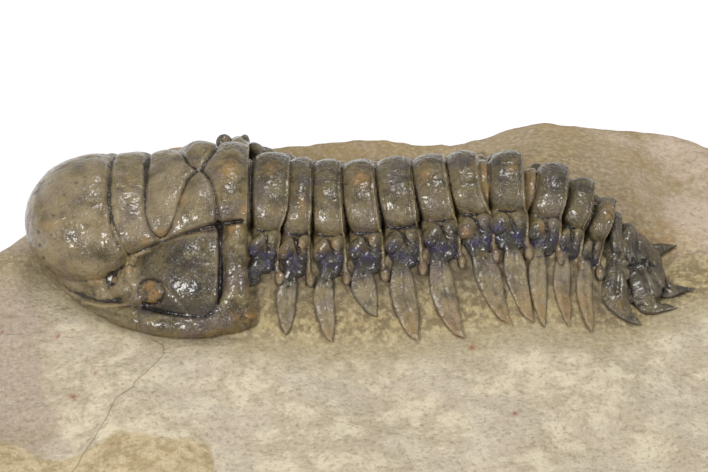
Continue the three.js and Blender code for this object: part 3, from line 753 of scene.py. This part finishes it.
def head():
    clay = Clay(HEAD_LOW, HEAD_HIGH, HEAD_CELL)
    shield = [
        (-36, 0, -3, 4, 1.4), (-33, 0, -2.6, 8, 3.2), (-29, 0, -2, 11.6, 4.2), (-24.5, 0, -1.8, 14.2, 4.2),
        (-20, 0, -1.6, 15.4, 4.2), (-15.2, 0, -1.5, 15.2, 4.2),
    ]
    bar(clay, shield, refine=3)
    border = [(x, y, z, w, 0.95 * w) for x, y, z, w in HEAD_BORDER]
    bar(clay, mirrored(-1, border[:0:-1]) + border, blend=0.25)
    for side in SIDES:
        cheek(clay, side)
    clay.add((((-30, -9.8, -3), (-12.4, 9.8, 12)), glabella), 0.08)
    clay.add((((-39.5, -9.8, -4.6), (-22, 9.8, 9.6)), frontal_lobe), 0.08)
    clay.add(ellipsoid((-15.7, 10.6, 6.1), (0.9, 1, 0.9)), 0.1)
    clay.add(ellipsoid((-13.2, 10.9, 6), (0.6, 0.9, 0.8)), 0.1)
    cut, place = clay.window((-31, -10, 0), (-24, 10, 10))
    clay.field[cut] += third_furrow(*place)
    for line, half_width, depth in HEAD_GROOVES:
        clay.groove(line, half_width, depth)
    clay.settle()
    clay.trim()
    points, faces = clay.skin()
    points = wrinkled(points, faces, 50)
    x, y, z = points.T
    v = seen_height(y, z)
    side_of_face = ramp(-26.5, -24.5, x) * ramp(-15.4, -16, x) * ramp(-9.7, -8.9, v)
    side_of_face = side_of_face * ramp(8.2, 8.8, np.abs(y))
    gold = sum(trace(points, line, 0.14) for line in GOLD_LINES)
    paint = {
        "gold": gold + 0.45 * sum(trace(points, line, 0.1) for line in FAINT_LINES),
        "ochre": spots(points, HEAD_SPOTS),
        "dark": (0.6 + 0.3 * ramp(-3, -6, v)) * side_of_face + 1.7 * spots(points, HEAD_PITS)
        - 0.4 * bump(x, -28.6, 0.4) * bump(v, -5, 0.4) + 0.25 * ramp(-7.5, -8.5, v)
        + 0.5 * trace(points, PIT_RING, 0.16),
        "violet": 0.12 * side_of_face,
        "dry": 0,
        "wear_and_highlight": (0.42 + 0.45 * noise(points, 1.7, 90)) * (1 - side_of_face) * ramp(-12, -22, x)
        * ramp(-8.2, -6.5, v),
    }
    return points, faces, paint


# The tail shield.
TAIL_SPINES = [
    ((31.6, -3.4), (30.9, -9.8), (34.1, -13.2), 1.5), ((33.6, -3.6), (35, -9.4), (38.6, -9.8), 1.35),
    ((35.2, -3.2), (37.3, -6.6), (40.8, -6.2), 1.25), ((34.4, -0.4), (36.1, 1), (39, 2.2), 1.1),
]
TAIL_FURROW = [(31.4, -3.2), (32.6, -3.7), (33.8, -3.6), (35, -3)]
TAIL_LINES = [
    [(32, -3.8), (32.7, -5.9), (33.1, -7.7), (33.3, -9.2)], [(33.3, -7.5), (35.4, -7.2), (36.7, -8)],
    [(33.3, -2.9), (34.5, -4.7), (35.1, -7.1)], [(34.5, -2.9), (36, -5.3), (37.2, -6.8)],
]
# x, half-span, rise and half-length of each ring of the tail.
TAIL_RINGS = [(31.3, 3.3, 2.5, 0.85), (32.9, 2.8, 2.2, 0.85), (34.4, 2.3, 2, 0.8)]
# A ring's arch over the axis and the furrow behind it: shares of the half-span and the rise, lean, narrowing.
TAIL_ARCH = [
    (-1.35, -0.7, 0.6, 0.6), (-1.15, -0.3, 0.4, 0.85), (-0.9, 0.3, 0.2, 1), (-0.45, 0.85, 0, 1),
    (0, 1, 0, 1), (0.45, 0.85, 0, 1), (0.9, 0.2, 0.2, 0.9), (1.3, -0.8, 0.5, 0.5),
]
TAIL_GAP = [(-1.3, -0.3, 0.5), (-0.6, 0.9, 0.1), (0, 1.1, 0), (0.6, 0.9, 0.1), (1.2, 0, 0.4)]
TAIL_SPOTS = [(34.3, 0.2, 0.8, 1, 0.4), (35.6, -9.9, 0.8, 0.4, 0.5), (31.5, -8.2, 0.6, 0.6, 0.3)]


def on_stone(x, y, lift, half_width, half_thick):
    return (x, y, float(ground(x, y)) + lift, half_width, half_thick)


def tail():
    clay = Clay((28.8, -15, -5), (41.6, 6.5, 3.5))
    core = [(31, -0.6, -1.7, 4.2, 2.9), (33, -1.4, -2.2, 3.8, 2.7), (35, -1.9, -3, 2.6, 2.1)]
    bar(clay, core, blend=0.3)
    plate = [
        (33, -9, 0.1, 2, 0.7), (33.8, -7.4, 0.35, 2.9, 0.95), (34.3, -5.5, 0.55, 3.1, 1.05),
        (34.4, -3, 0.55, 2.6, 1.05), (34.2, -0.8, 0.4, 2.1, 0.9), (34.4, 1, 0.2, 1.3, 0.5),
    ]
    bar(clay, [on_stone(*station) for station in plate], BACK, blend=0.3, power=2.4)
    for root, bend, tip, width in TAIL_SPINES:
        root, bend, tip = (np.array(p) for p in (root, bend, tip))
        middle = 0.45 * root + 0.55 * bend
        late = np.array([0.5 * (bend[0] + tip[0]), 0.35 * bend[1] + 0.65 * tip[1]])
        stations = [
            on_stone(*root, 0.6, width, 0.7), on_stone(*middle, 0.5, 1.1 * width, 0.75),
            on_stone(*bend, 0.35, 1.1 * width, 0.65), on_stone(*late, 0.3, 0.6 * width, 0.45),
            on_stone(*tip, 0.3, 0.1, 0.12),
        ]
        bar(clay, stations, blend=0.25, power=2.3)
        clay.groove([(s[0] + 0.3, s[1] + 0.1, s[2] + s[4]) for s in stations[:3]], 0.3, 0.25)
    for x, half_span, rise, half_length in TAIL_RINGS:
        y, z = through(AXIS_Y, x), through(AXIS_Z, x)
        arch = [
            (x + lean, y + out * half_span, z + up * rise - 0.7, half_length * narrow, 0.8 * narrow)
            for out, up, lean, narrow in TAIL_ARCH
        ]
        bar(clay, arch, BACK, blend=0.3, power=2.3)
        gap = [(x + half_length + lean, y + out * half_span, z + up * rise) for out, up, lean in TAIL_GAP]
        clay.groove(gap, 0.28, 0.45)
    clay.groove(TAIL_FURROW, 0.24, 0.4)
    for line in TAIL_LINES:
        clay.groove(line, 0.22, 0.32)
    clay.settle()
    clay.trim()
    points, faces = clay.skin()
    points = wrinkled(points, faces, 70)
    x, y = points[:, 0], points[:, 1]
    paint = {
        "gold": 0.5 * spots(points, [(32.2, -1.2, 0.25, 1.3, 1)]),
        "ochre": spots(points, TAIL_SPOTS),
        # Painted shade: steep sides by the stone are painted darker.
        "dark": 0.68 + 0.3 * bump(x, 33, 2.5) * bump(y, -4.5, 2.5) - 0.25 * ramp(-8, -9.5, y)
        + 0.5 * ramp(0.75, 0.35, normals_of(points, faces)[:, 2]),
        "violet": 0.08,
        "dry": 0,
        "wear_and_highlight": 0,
    }
    return points, faces, paint


# The stone.
COLUMNS, ROWS, SIDE_ROWS = 360, 216, 14
NEAREST, FARTHEST = -50.25, 24.85  # y that its near and far edges stay within
# A broken blade's imprint and a scratch: two ends as (x, height in the photograph), half-width, depth.
STONE_MARKS = [((2.8, -10.1), (4.7, -13.7), 0.55, 0.45), ((9.8, -15), (11.4, -15.7), 0.25, 0.25)]


def outside_core(x, y):
    """How far places lie outside the foot of the stone core under the animal."""
    return np.abs(y - through(AXIS_Y, x)) - through(CORE_FOOT, x)


def slab():
    """The displaced top, the broken sides and the flat underside as one closed mesh."""
    x = np.linspace(-SLAB_HALF_LENGTH, SLAB_HALF_LENGTH, COLUMNS)[:, None]
    v = np.linspace(0, 1, ROWS)[None, :]
    near = np.maximum(through(NEAR_EDGE, x), NEAREST)
    line = np.stack([x, 0 * x, 0 * x], -1)
    ragged = 0.3 * noise(line, 3.1, 30) + 0.2 * noise(line, 1.2, 31)
    far = np.minimum(through(FAR_EDGE, x) + 0.25 + ragged, FARTHEST)
    y = near + (far - near) * v
    x = x * (1 + 0.013 * np.sin(9 * v) * ramp(40, 60, np.abs(x)))
    flat = np.stack([x, y, 0 * x], -1)
    rim = np.minimum(np.minimum(y - near, far - y), SLAB_HALF_LENGTH - np.abs(x))
    outside = outside_core(x, y)
    away = ramp(-2, 4, outside)
    rough = (0.3 * noise(flat, 11, 3) + 0.16 * noise(flat, 3.6, 4)) * away
    rough = rough + (0.06 + 0.03 * away) * noise(flat, 1.5, 5) + 0.02 * noise(flat, 0.7, 6)
    ledges = ramp(-0.03, 0.03, noise(flat, 13, 14)) + 0.6 * ramp(-0.04, 0.04, noise(flat, 7, 15)) - 0.8
    rough = rough + (0.15 * ramp(-16, -20, x) + 0.25 * ramp(10, 18, y)) * ledges * away
    between = bump(outside, -4, 2.8) * ramp(-14, -8, x) * ramp(32, 26, x)
    rough = rough + 0.3 * between * (0.5 + noise(flat * (1, 0.5, 1), 1.2, 7))
    z = ground(x, y) + rough - 0.5 * np.exp(-np.maximum(rim, 0) / 0.5)
    for start, end, half_width, depth in STONE_MARKS:
        offset = nearest(np.array(start), np.array(end), (x, seen_height(y, z)))[1]
        z = z - depth * bump(np.hypot(*offset), 0, half_width)
    top = np.stack([x, y, z], -1).reshape(-1, 3)
    number = np.arange(len(top)).reshape(COLUMNS, ROWS)
    squares = [number[:-1, :-1], number[1:, :-1], number[1:, 1:], number[:-1, 1:]]
    faces = [np.stack(squares, -1).reshape(-1, 4)]
    upper = np.concatenate([number[:, 0], number[-1, 1:], number[-2::-1, -1], number[0, -2:0:-1]])
    edge = top[upper]
    layers = [top]
    for k in range(1, SIDE_ROWS + 1):
        depth = k / SIDE_ROWS
        wall = edge * (1, 1, 1 - depth) - (0, 0, ANIMAL_AT[2] * depth)
        chips = 1.5 * noise(wall, 8, 8) + 0.7 * noise(wall, 3, 9) + 0.3 * noise(wall, 1.2, 10)
        inset = 0.05 * depth - 0.015 + 0.02 * chips * math.sin(math.pi * min(1, depth + 0.08))
        wall[:, :2] -= (wall[:, :2] + (0, ANIMAL_AT[1])) * np.maximum(inset, 0)[:, None]
        layers.append(wall)
        lower = len(top) + (k - 1) * len(edge) + np.arange(len(edge))
        faces.append(np.stack([upper, lower, np.roll(lower, -1), np.roll(upper, -1)], 1))
        upper = lower
    points = np.concatenate(layers)
    return points, np.concatenate(faces), stone_paint(points, np.arange(len(points)) < len(top)), lower


def stone_paint(points, on_top):
    x, y, z = points.T
    outside = outside_core(x, y)
    near_side = ramp(3, -3, y)
    weathered = ramp(-9, -4, z + 2 * noise(points, 5, 17))
    rag = 1.6 * noise(points * (1, 1, 0), 6, 12) + 0.7 * noise(points * (1, 1, 0), 2, 13)
    from_left = x + 0.1 * y + rag
    from_near = y - through(WORKED_EDGE, x) + 0.4 * rag
    along = ramp(-14, -11, x) * ramp(33, 29, x)
    return {
        "pale": on_top * ramp(-39.5, -36.5, from_left) * ramp(-0.6, 0.3, from_near) * ramp(2, -5, y + rag),
        "brown": on_top * ramp(1.2, -2.5, outside) * (0.35 + 0.65 * near_side),
        "halo": on_top * near_side * ramp(6.5, 0.5, outside + 1.2 * noise(points, 2.5, 16)),
        "rust": spots(points, STONE_SPOTS),
        "mound": on_top * bump(x, 36.5, 4) * bump(y, 3.5, 4),
        # Painted shade on the stone under the near pleurae and blades.
        "shade_under_body": on_top * near_side * bump(y - through(AXIS_Y, x), -11, 3.3) * along,
        "crack": signed_distance(x, y, CRACK),
        "left": ramp(-34, -40, from_left) * ramp(-38, -33, y + rag) * weathered,
        "raw": on_top * ramp(0.6, -0.3, from_near) * ramp(-10, -20, y),
        "rose": ramp(26, 38, x) * ramp(-8, 0, y) * weathered,
    }


STONE_SPOTS = [
    (-35, -11.8, 0.3, 0.25, 1), (13.9, -13.1, 0.35, 0.35, 1), (18.6, -20.5, 0.3, 0.25, 1),
    (-32.6, -18.7, 0.4, 0.3, 1), (12.2, -11.5, 0.3, 0.6, 0.8), (-30.2, -16.1, 0.3, 0.25, 0.7),
    (-41.6, -11.4, 0.2, 0.2, 0.8),
]
# The near edge of the zone that was worked clean.
WORKED_EDGE = [
    (-60, -33), (-45, -34), (-38, -35), (-35, -37.3), (-32.3, -37), (-27.5, -33.9), (-22.1, -34.9),
    (-16.7, -35.9), (-15.6, -41.5), (-13, -47), (60, -47),
]
CRACK = [
    (-23.6, -16.7), (-22.4, -17.7), (-22.3, -19.6), (-24.5, -23.5), (-25.5, -25), (-25.7, -26.1),
    (-27.7, -28.2), (-28.5, -31), (-29.3, -32.5), (-31.2, -36.8), (-31.8, -38.7), (-33.1, -40.7),
    (-34.1, -44),
]


def signed_distance(x, y, line):
    """Distance from a line in plan, positive on its left as it runs."""
    best = np.full(len(x), 50.0)
    for a, b in zip(np.array(line[:-1]), np.array(line[1:])):
        side = np.sign((b - a)[0] * (y - a[1]) - (b - a)[1] * (x - a[0]))
        distance = side * np.hypot(*nearest(a, b, (x, y))[1])
        best = np.where(np.abs(distance) < np.abs(best), distance, best)
    return best


# Meshes and materials.
def placed(name, data, place=(0, 0, 0)):
    """A new object in the scene."""
    thing = bpy.data.objects.new(name, data)
    thing.location = place
    bpy.context.scene.collection.objects.link(thing)
    return thing


def add_mesh(name, points, faces, paint, extra_faces=()):
    """A piece that rides on the body. Each paint is a number, or one number for each point."""
    mesh = bpy.data.meshes.new(name)
    mesh.from_pydata(((points + ANIMAL_AT) * METRE).tolist(), [], faces.tolist() + list(extra_faces))
    for key, values in paint.items():
        values = np.full(len(points), values, np.float32)
        mesh.attributes.new(key, "FLOAT", "POINT").data.foreach_set("value", values)
    mesh.shade_smooth()
    piece = placed(name, mesh)
    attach(piece, "root")
    return piece


def hollows(points, faces):
    """How deep each point lies in a furrow, in furrows about half a millimetre and two millimetres wide."""
    normals = normals_of(points, faces)
    close = relaxed(points, faces, 8)
    wide = relaxed(close, faces, 60)
    fine = ((close - points) * normals).sum(1)
    broad = ((wide - points) * normals).sum(1)
    return np.clip(fine / 0.05, -1, 1), np.clip(broad / 0.25, -1, 1)


class Shader:
    """Builds a node tree. An input takes a socket, a point attribute's name, a colour or a number."""

    def __init__(self, name):
        self.material = bpy.data.materials.new(name)
        self.material.use_nodes = True
        self.tree = self.material.node_tree
        self.place = self.made("ShaderNodeTexCoord", "Object", {})

    def made(self, kind, output, inputs, **settings):
        """A new node's output, once its settings and inputs are given."""
        node = self.tree.nodes.new(kind)
        for key, value in settings.items():
            setattr(node, key, value)
        for key, value in inputs.items():
            self.feed(node.inputs[key], value)
        return node.outputs[output]

    def feed(self, socket, value):
        if isinstance(value, str):
            value = self.made("ShaderNodeAttribute", "Fac", {}, attribute_name=value)
        if isinstance(value, bpy.types.NodeSocket):
            self.tree.links.new(value, socket)
        else:
            socket.default_value = (*value, 1) if isinstance(value, tuple) else value

    def math(self, operation, a, b=0.0, clamp=False):
        return self.made("ShaderNodeMath", 0, {0: a, 1: b}, operation=operation, use_clamp=clamp)

    def times(self, a, b, clamp=False):
        return self.math("MULTIPLY", a, b, clamp)

    def ramp(self, value, low, high):
        inputs = {"Value": value, "From Min": low, "From Max": high}
        return self.made("ShaderNodeMapRange", "Result", inputs, interpolation_type="SMOOTHSTEP")

    def mix(self, share, a, b):
        return self.made("ShaderNodeMix", "Result", {"Factor": share, "A": a, "B": b}, data_type="RGBA")

    def painted(self, colour, layers):
        """A colour with paints laid over it in turn, each by its share times a strength."""
        for paint, share, strength in layers:
            colour = self.mix(self.times(share, strength), colour, paint)
        return colour

    def noise(self, size_mm, detail=2.0, roughness=0.5):
        inputs = {"Vector": self.place, "Scale": 1000 / size_mm, "Detail": detail, "Roughness": roughness}
        return self.made("ShaderNodeTexNoise", "Fac", inputs)

    def cells(self, size_mm):
        return self.made("ShaderNodeTexVoronoi", "Distance", {"Vector": self.place, "Scale": 1000 / size_mm})

    def bump(self, height, depth_mm, after=None):
        inputs = {"Strength": 1.0, "Distance": depth_mm * METRE, "Height": height}
        if after is not None:
            inputs["Normal"] = after
        return self.made("ShaderNodeBump", "Normal", inputs)

    def finished(self, inputs):
        """The material, once the inputs of its surface are given."""
        for key, value in inputs.items():
            self.feed(self.tree.nodes["Principled BSDF"].inputs[key], value)
        return self.material


def shell_material():
    s = Shader("fossil_shell")
    colour = s.painted((0.06, 0.045, 0.02), [
        ((0.182, 0.139, 0.06), s.ramp(s.noise(2.4, 5, 0.6), 0.38, 0.58), 1),
        ((0.12, 0.088, 0.088), s.ramp(s.noise(3.6, 3), 0.5, 0.64), 0.6),
        # Pale wear, and the painted highlight on the rings' lower flanks.
        ((0.3, 0.235, 0.14), "wear_and_highlight", 1),
        ((0.04, 0.03, 0.017), s.ramp(s.noise(0.45, 5, 0.7), 0.47, 0.33), 0.5),
        ((0.34, 0.28, 0.18), s.ramp(s.noise(0.5, 3, 0.6), 0.56, 0.7), 0.35),
        # Painted highlight: lighter tan on convex ridges.
        ((0.34, 0.28, 0.19), s.ramp("hollow", -0.2, -1.0), 0.3),
        # The dark paint holds dark shell colour and painted shade.
        ((0.034, 0.031, 0.025), "dark", 0.7),
        ((0.038, 0.027, 0.078), s.times("violet", s.ramp(s.noise(1.3, 3), 0.46, 0.6), True), 0.75),
        ((0.33, 0.19, 0.06), s.times("ochre", s.ramp(s.noise(1.0, 4, 0.6), 0.32, 0.56), True), 0.85),
        # Painted shade: near-black deep in the furrows.
        ((0.016, 0.012, 0.013), s.ramp(s.math("ADD", "furrow", s.times("hollow", 0.6)), 0.4, 1.25), 0.9),
        ((0.4, 0.3, 0.15), "gold", 0.75),
    ])
    crease = s.math("ABSOLUTE", s.math("SUBTRACT", s.noise(1.5, 4, 0.6), 0.5))
    normal = s.bump(s.noise(1.3, 3, 0.5), 0.26)
    normal = s.bump(s.ramp(crease, 0.0, 0.05), 0.045, normal)
    normal = s.bump(s.times(s.ramp(s.cells(1.1), 0.24, 0.1), -1.0), 0.02, normal)
    roughness = s.math("ADD", s.ramp(s.noise(0.9, 3), -0.5, 3.2), s.times("dry", 0.25))
    return s.finished({
        "Base Color": colour, "Roughness": roughness, "Coat Weight": 0.25, "Coat Roughness": 0.12,
        "Normal": normal, "Coat Normal": normal,
    })


def stone_material():
    s = Shader("limestone")
    fine = s.noise(0.6, 5, 0.7)
    pale = s.painted((0.49, 0.41, 0.29), [
        ((0.74, 0.65, 0.47), s.ramp(s.noise(3.2, 6, 0.7), 0.42, 0.62), 0.75),
        ((0.56, 0.475, 0.385), s.ramp(s.noise(11, 3), 0.46, 0.6), 0.45),
    ])
    raw = s.mix(s.ramp(s.noise(2.6, 6, 0.7), 0.4, 0.6), (0.42, 0.32, 0.17), (0.6, 0.48, 0.29))
    deep = s.mix(s.ramp(s.noise(1.2, 5, 0.6), 0.4, 0.6), (0.2, 0.145, 0.065), (0.46, 0.36, 0.17))
    colour = s.painted((0.39, 0.3, 0.185), [
        ((0.38, 0.28, 0.14), s.ramp(s.noise(7, 6, 0.65), 0.4, 0.62), 1),
        ((0.44, 0.355, 0.27), "left", 1),
        ((0.58, 0.46, 0.355), s.times("rose", s.ramp(s.noise(8, 5, 0.6), 0.34, 0.56)), 0.85),
        ((0.42, 0.31, 0.19), s.ramp(s.noise(3, 5, 0.7), 0.5, 0.7), 0.4),
        (pale, "pale", 1),
        (raw, "raw", 1),
        ((0.37, 0.3, 0.165), "halo", 0.8),
        (deep, "brown", 0.8),
        ((0.42, 0.25, 0.1), s.times("mound", s.ramp(s.noise(2.2, 4, 0.6), 0.4, 0.65)), 0.6),
        ((0.78, 0.7, 0.54), s.ramp(fine, 0.5, 0.68), 0.32),
        ((0.2, 0.15, 0.09), s.ramp(fine, 0.48, 0.34), 0.45),
        # Painted shade: near-black on the stone under the near side of the body.
        ((0.065, 0.05, 0.04), "shade_under_body", 0.6),
        ((0.28, 0.07, 0.02), "rust", 0.9),
        ((0.12, 0.08, 0.05), s.ramp(s.math("ABSOLUTE", "crack"), 0.12, 0.02), 0.55),
    ])
    normal = s.bump(fine, 0.26, s.bump(s.noise(2.4, 4, 0.6), 0.3))
    return s.finished({"Base Color": colour, "Roughness": s.ramp(fine, -2.2, 0.9), "Normal": normal})


# The stage: a pale floor, soft light, and the camera where the photograph was taken from, in metres.
FLOOR_HALF, FLOOR_Z = 3.0, -0.0002
LIT_PLACE = (0, 0, 0.025)


def stage():
    mesh = bpy.data.meshes.new("floor")
    corners = [(-FLOOR_HALF, -FLOOR_HALF, 0), (FLOOR_HALF, -FLOOR_HALF, 0)]
    corners += [(FLOOR_HALF, FLOOR_HALF, 0), (-FLOOR_HALF, FLOOR_HALF, 0)]
    mesh.from_pydata(corners, [], [(0, 1, 2, 3)])
    white = {"Base Color": (0.92, 0.92, 0.92), "Emission Color": (1, 1, 1), "Emission Strength": 0.12}
    mesh.materials.append(Shader("paper").finished({**white, "Roughness": 0.9}))
    placed("floor", mesh, (0, 0, FLOOR_Z))
    world = bpy.data.worlds.new("studio")
    world.use_nodes = True
    sky = world.node_tree.nodes["Background"].inputs
    sky["Color"].default_value, sky["Strength"].default_value = (1, 1, 1, 1), 0.28
    bpy.context.scene.world = world
    area_light("key", (-0.45, -0.5, 0.5), 0.3, 4.3)
    area_light("fill", (0.5, -0.45, 0.4), 0.2, 2)
    area_light("top", (0.05, 0.3, 0.75), 0.3, 2.6)


def area_light(name, place, size, power):
    data = bpy.data.lights.new(name, "AREA")
    data.size, data.energy = size, power
    towards = Vector(LIT_PLACE) - Vector(place)
    placed(name, data, place).rotation_euler = towards.to_track_quat("-Z", "Y").to_euler()


CAMERA_ELEVATION = math.radians(38)
CAMERA_DISTANCE = 0.6
VIEW_WIDTH = 0.085  # the photograph's width on the animal
SENSOR = 36  # width in millimetres


def camera():
    data = bpy.data.cameras.new("camera")
    data.sensor_width = SENSOR
    data.lens = SENSOR * CAMERA_DISTANCE / VIEW_WIDTH
    data.clip_start = 0.01
    back = np.array([0, -math.cos(CAMERA_ELEVATION), math.sin(CAMERA_ELEVATION)])
    view = placed("camera", data, ANIMAL_AT * METRE + CAMERA_DISTANCE * back)
    view.rotation_euler = (math.pi / 2 - CAMERA_ELEVATION, 0, 0)
    bpy.context.scene.camera = view


def main():
    camera()
    shell, limestone = shell_material(), stone_material()
    plates = [("head", "head_shield", head)]
    for i in range(len(SEGMENTS)):
        plates.append((f"segment_{i + 1}", f"thoracic_segment_{i + 1}", lambda i=i: thoracic_segment(i)))
    plates.append(("tail", "tail_shield", tail))
    for name, node, make in plates:
        points, faces, paint = make()
        points[:, 2] = np.minimum(points[:, 2], CEILING)
        # How deep in a furrow each point lies: the shell paints shade deep in furrows and a highlight on
        # ridges from these.
        paint["hollow"], paint["furrow"] = hollows(points, faces)
        piece = add_mesh(name, points, faces, paint)
        piece.data.materials.append(shell)
        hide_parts(node)
    points, faces, paint, underside = slab()
    stone = add_mesh("stone", points, faces, paint, [tuple(underside[::-1].tolist())])
    stone.data.materials.append(limestone)
    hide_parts("limestone_matrix")
    stage()
    bpy.context.scene.view_settings.view_transform = "Standard"


main()
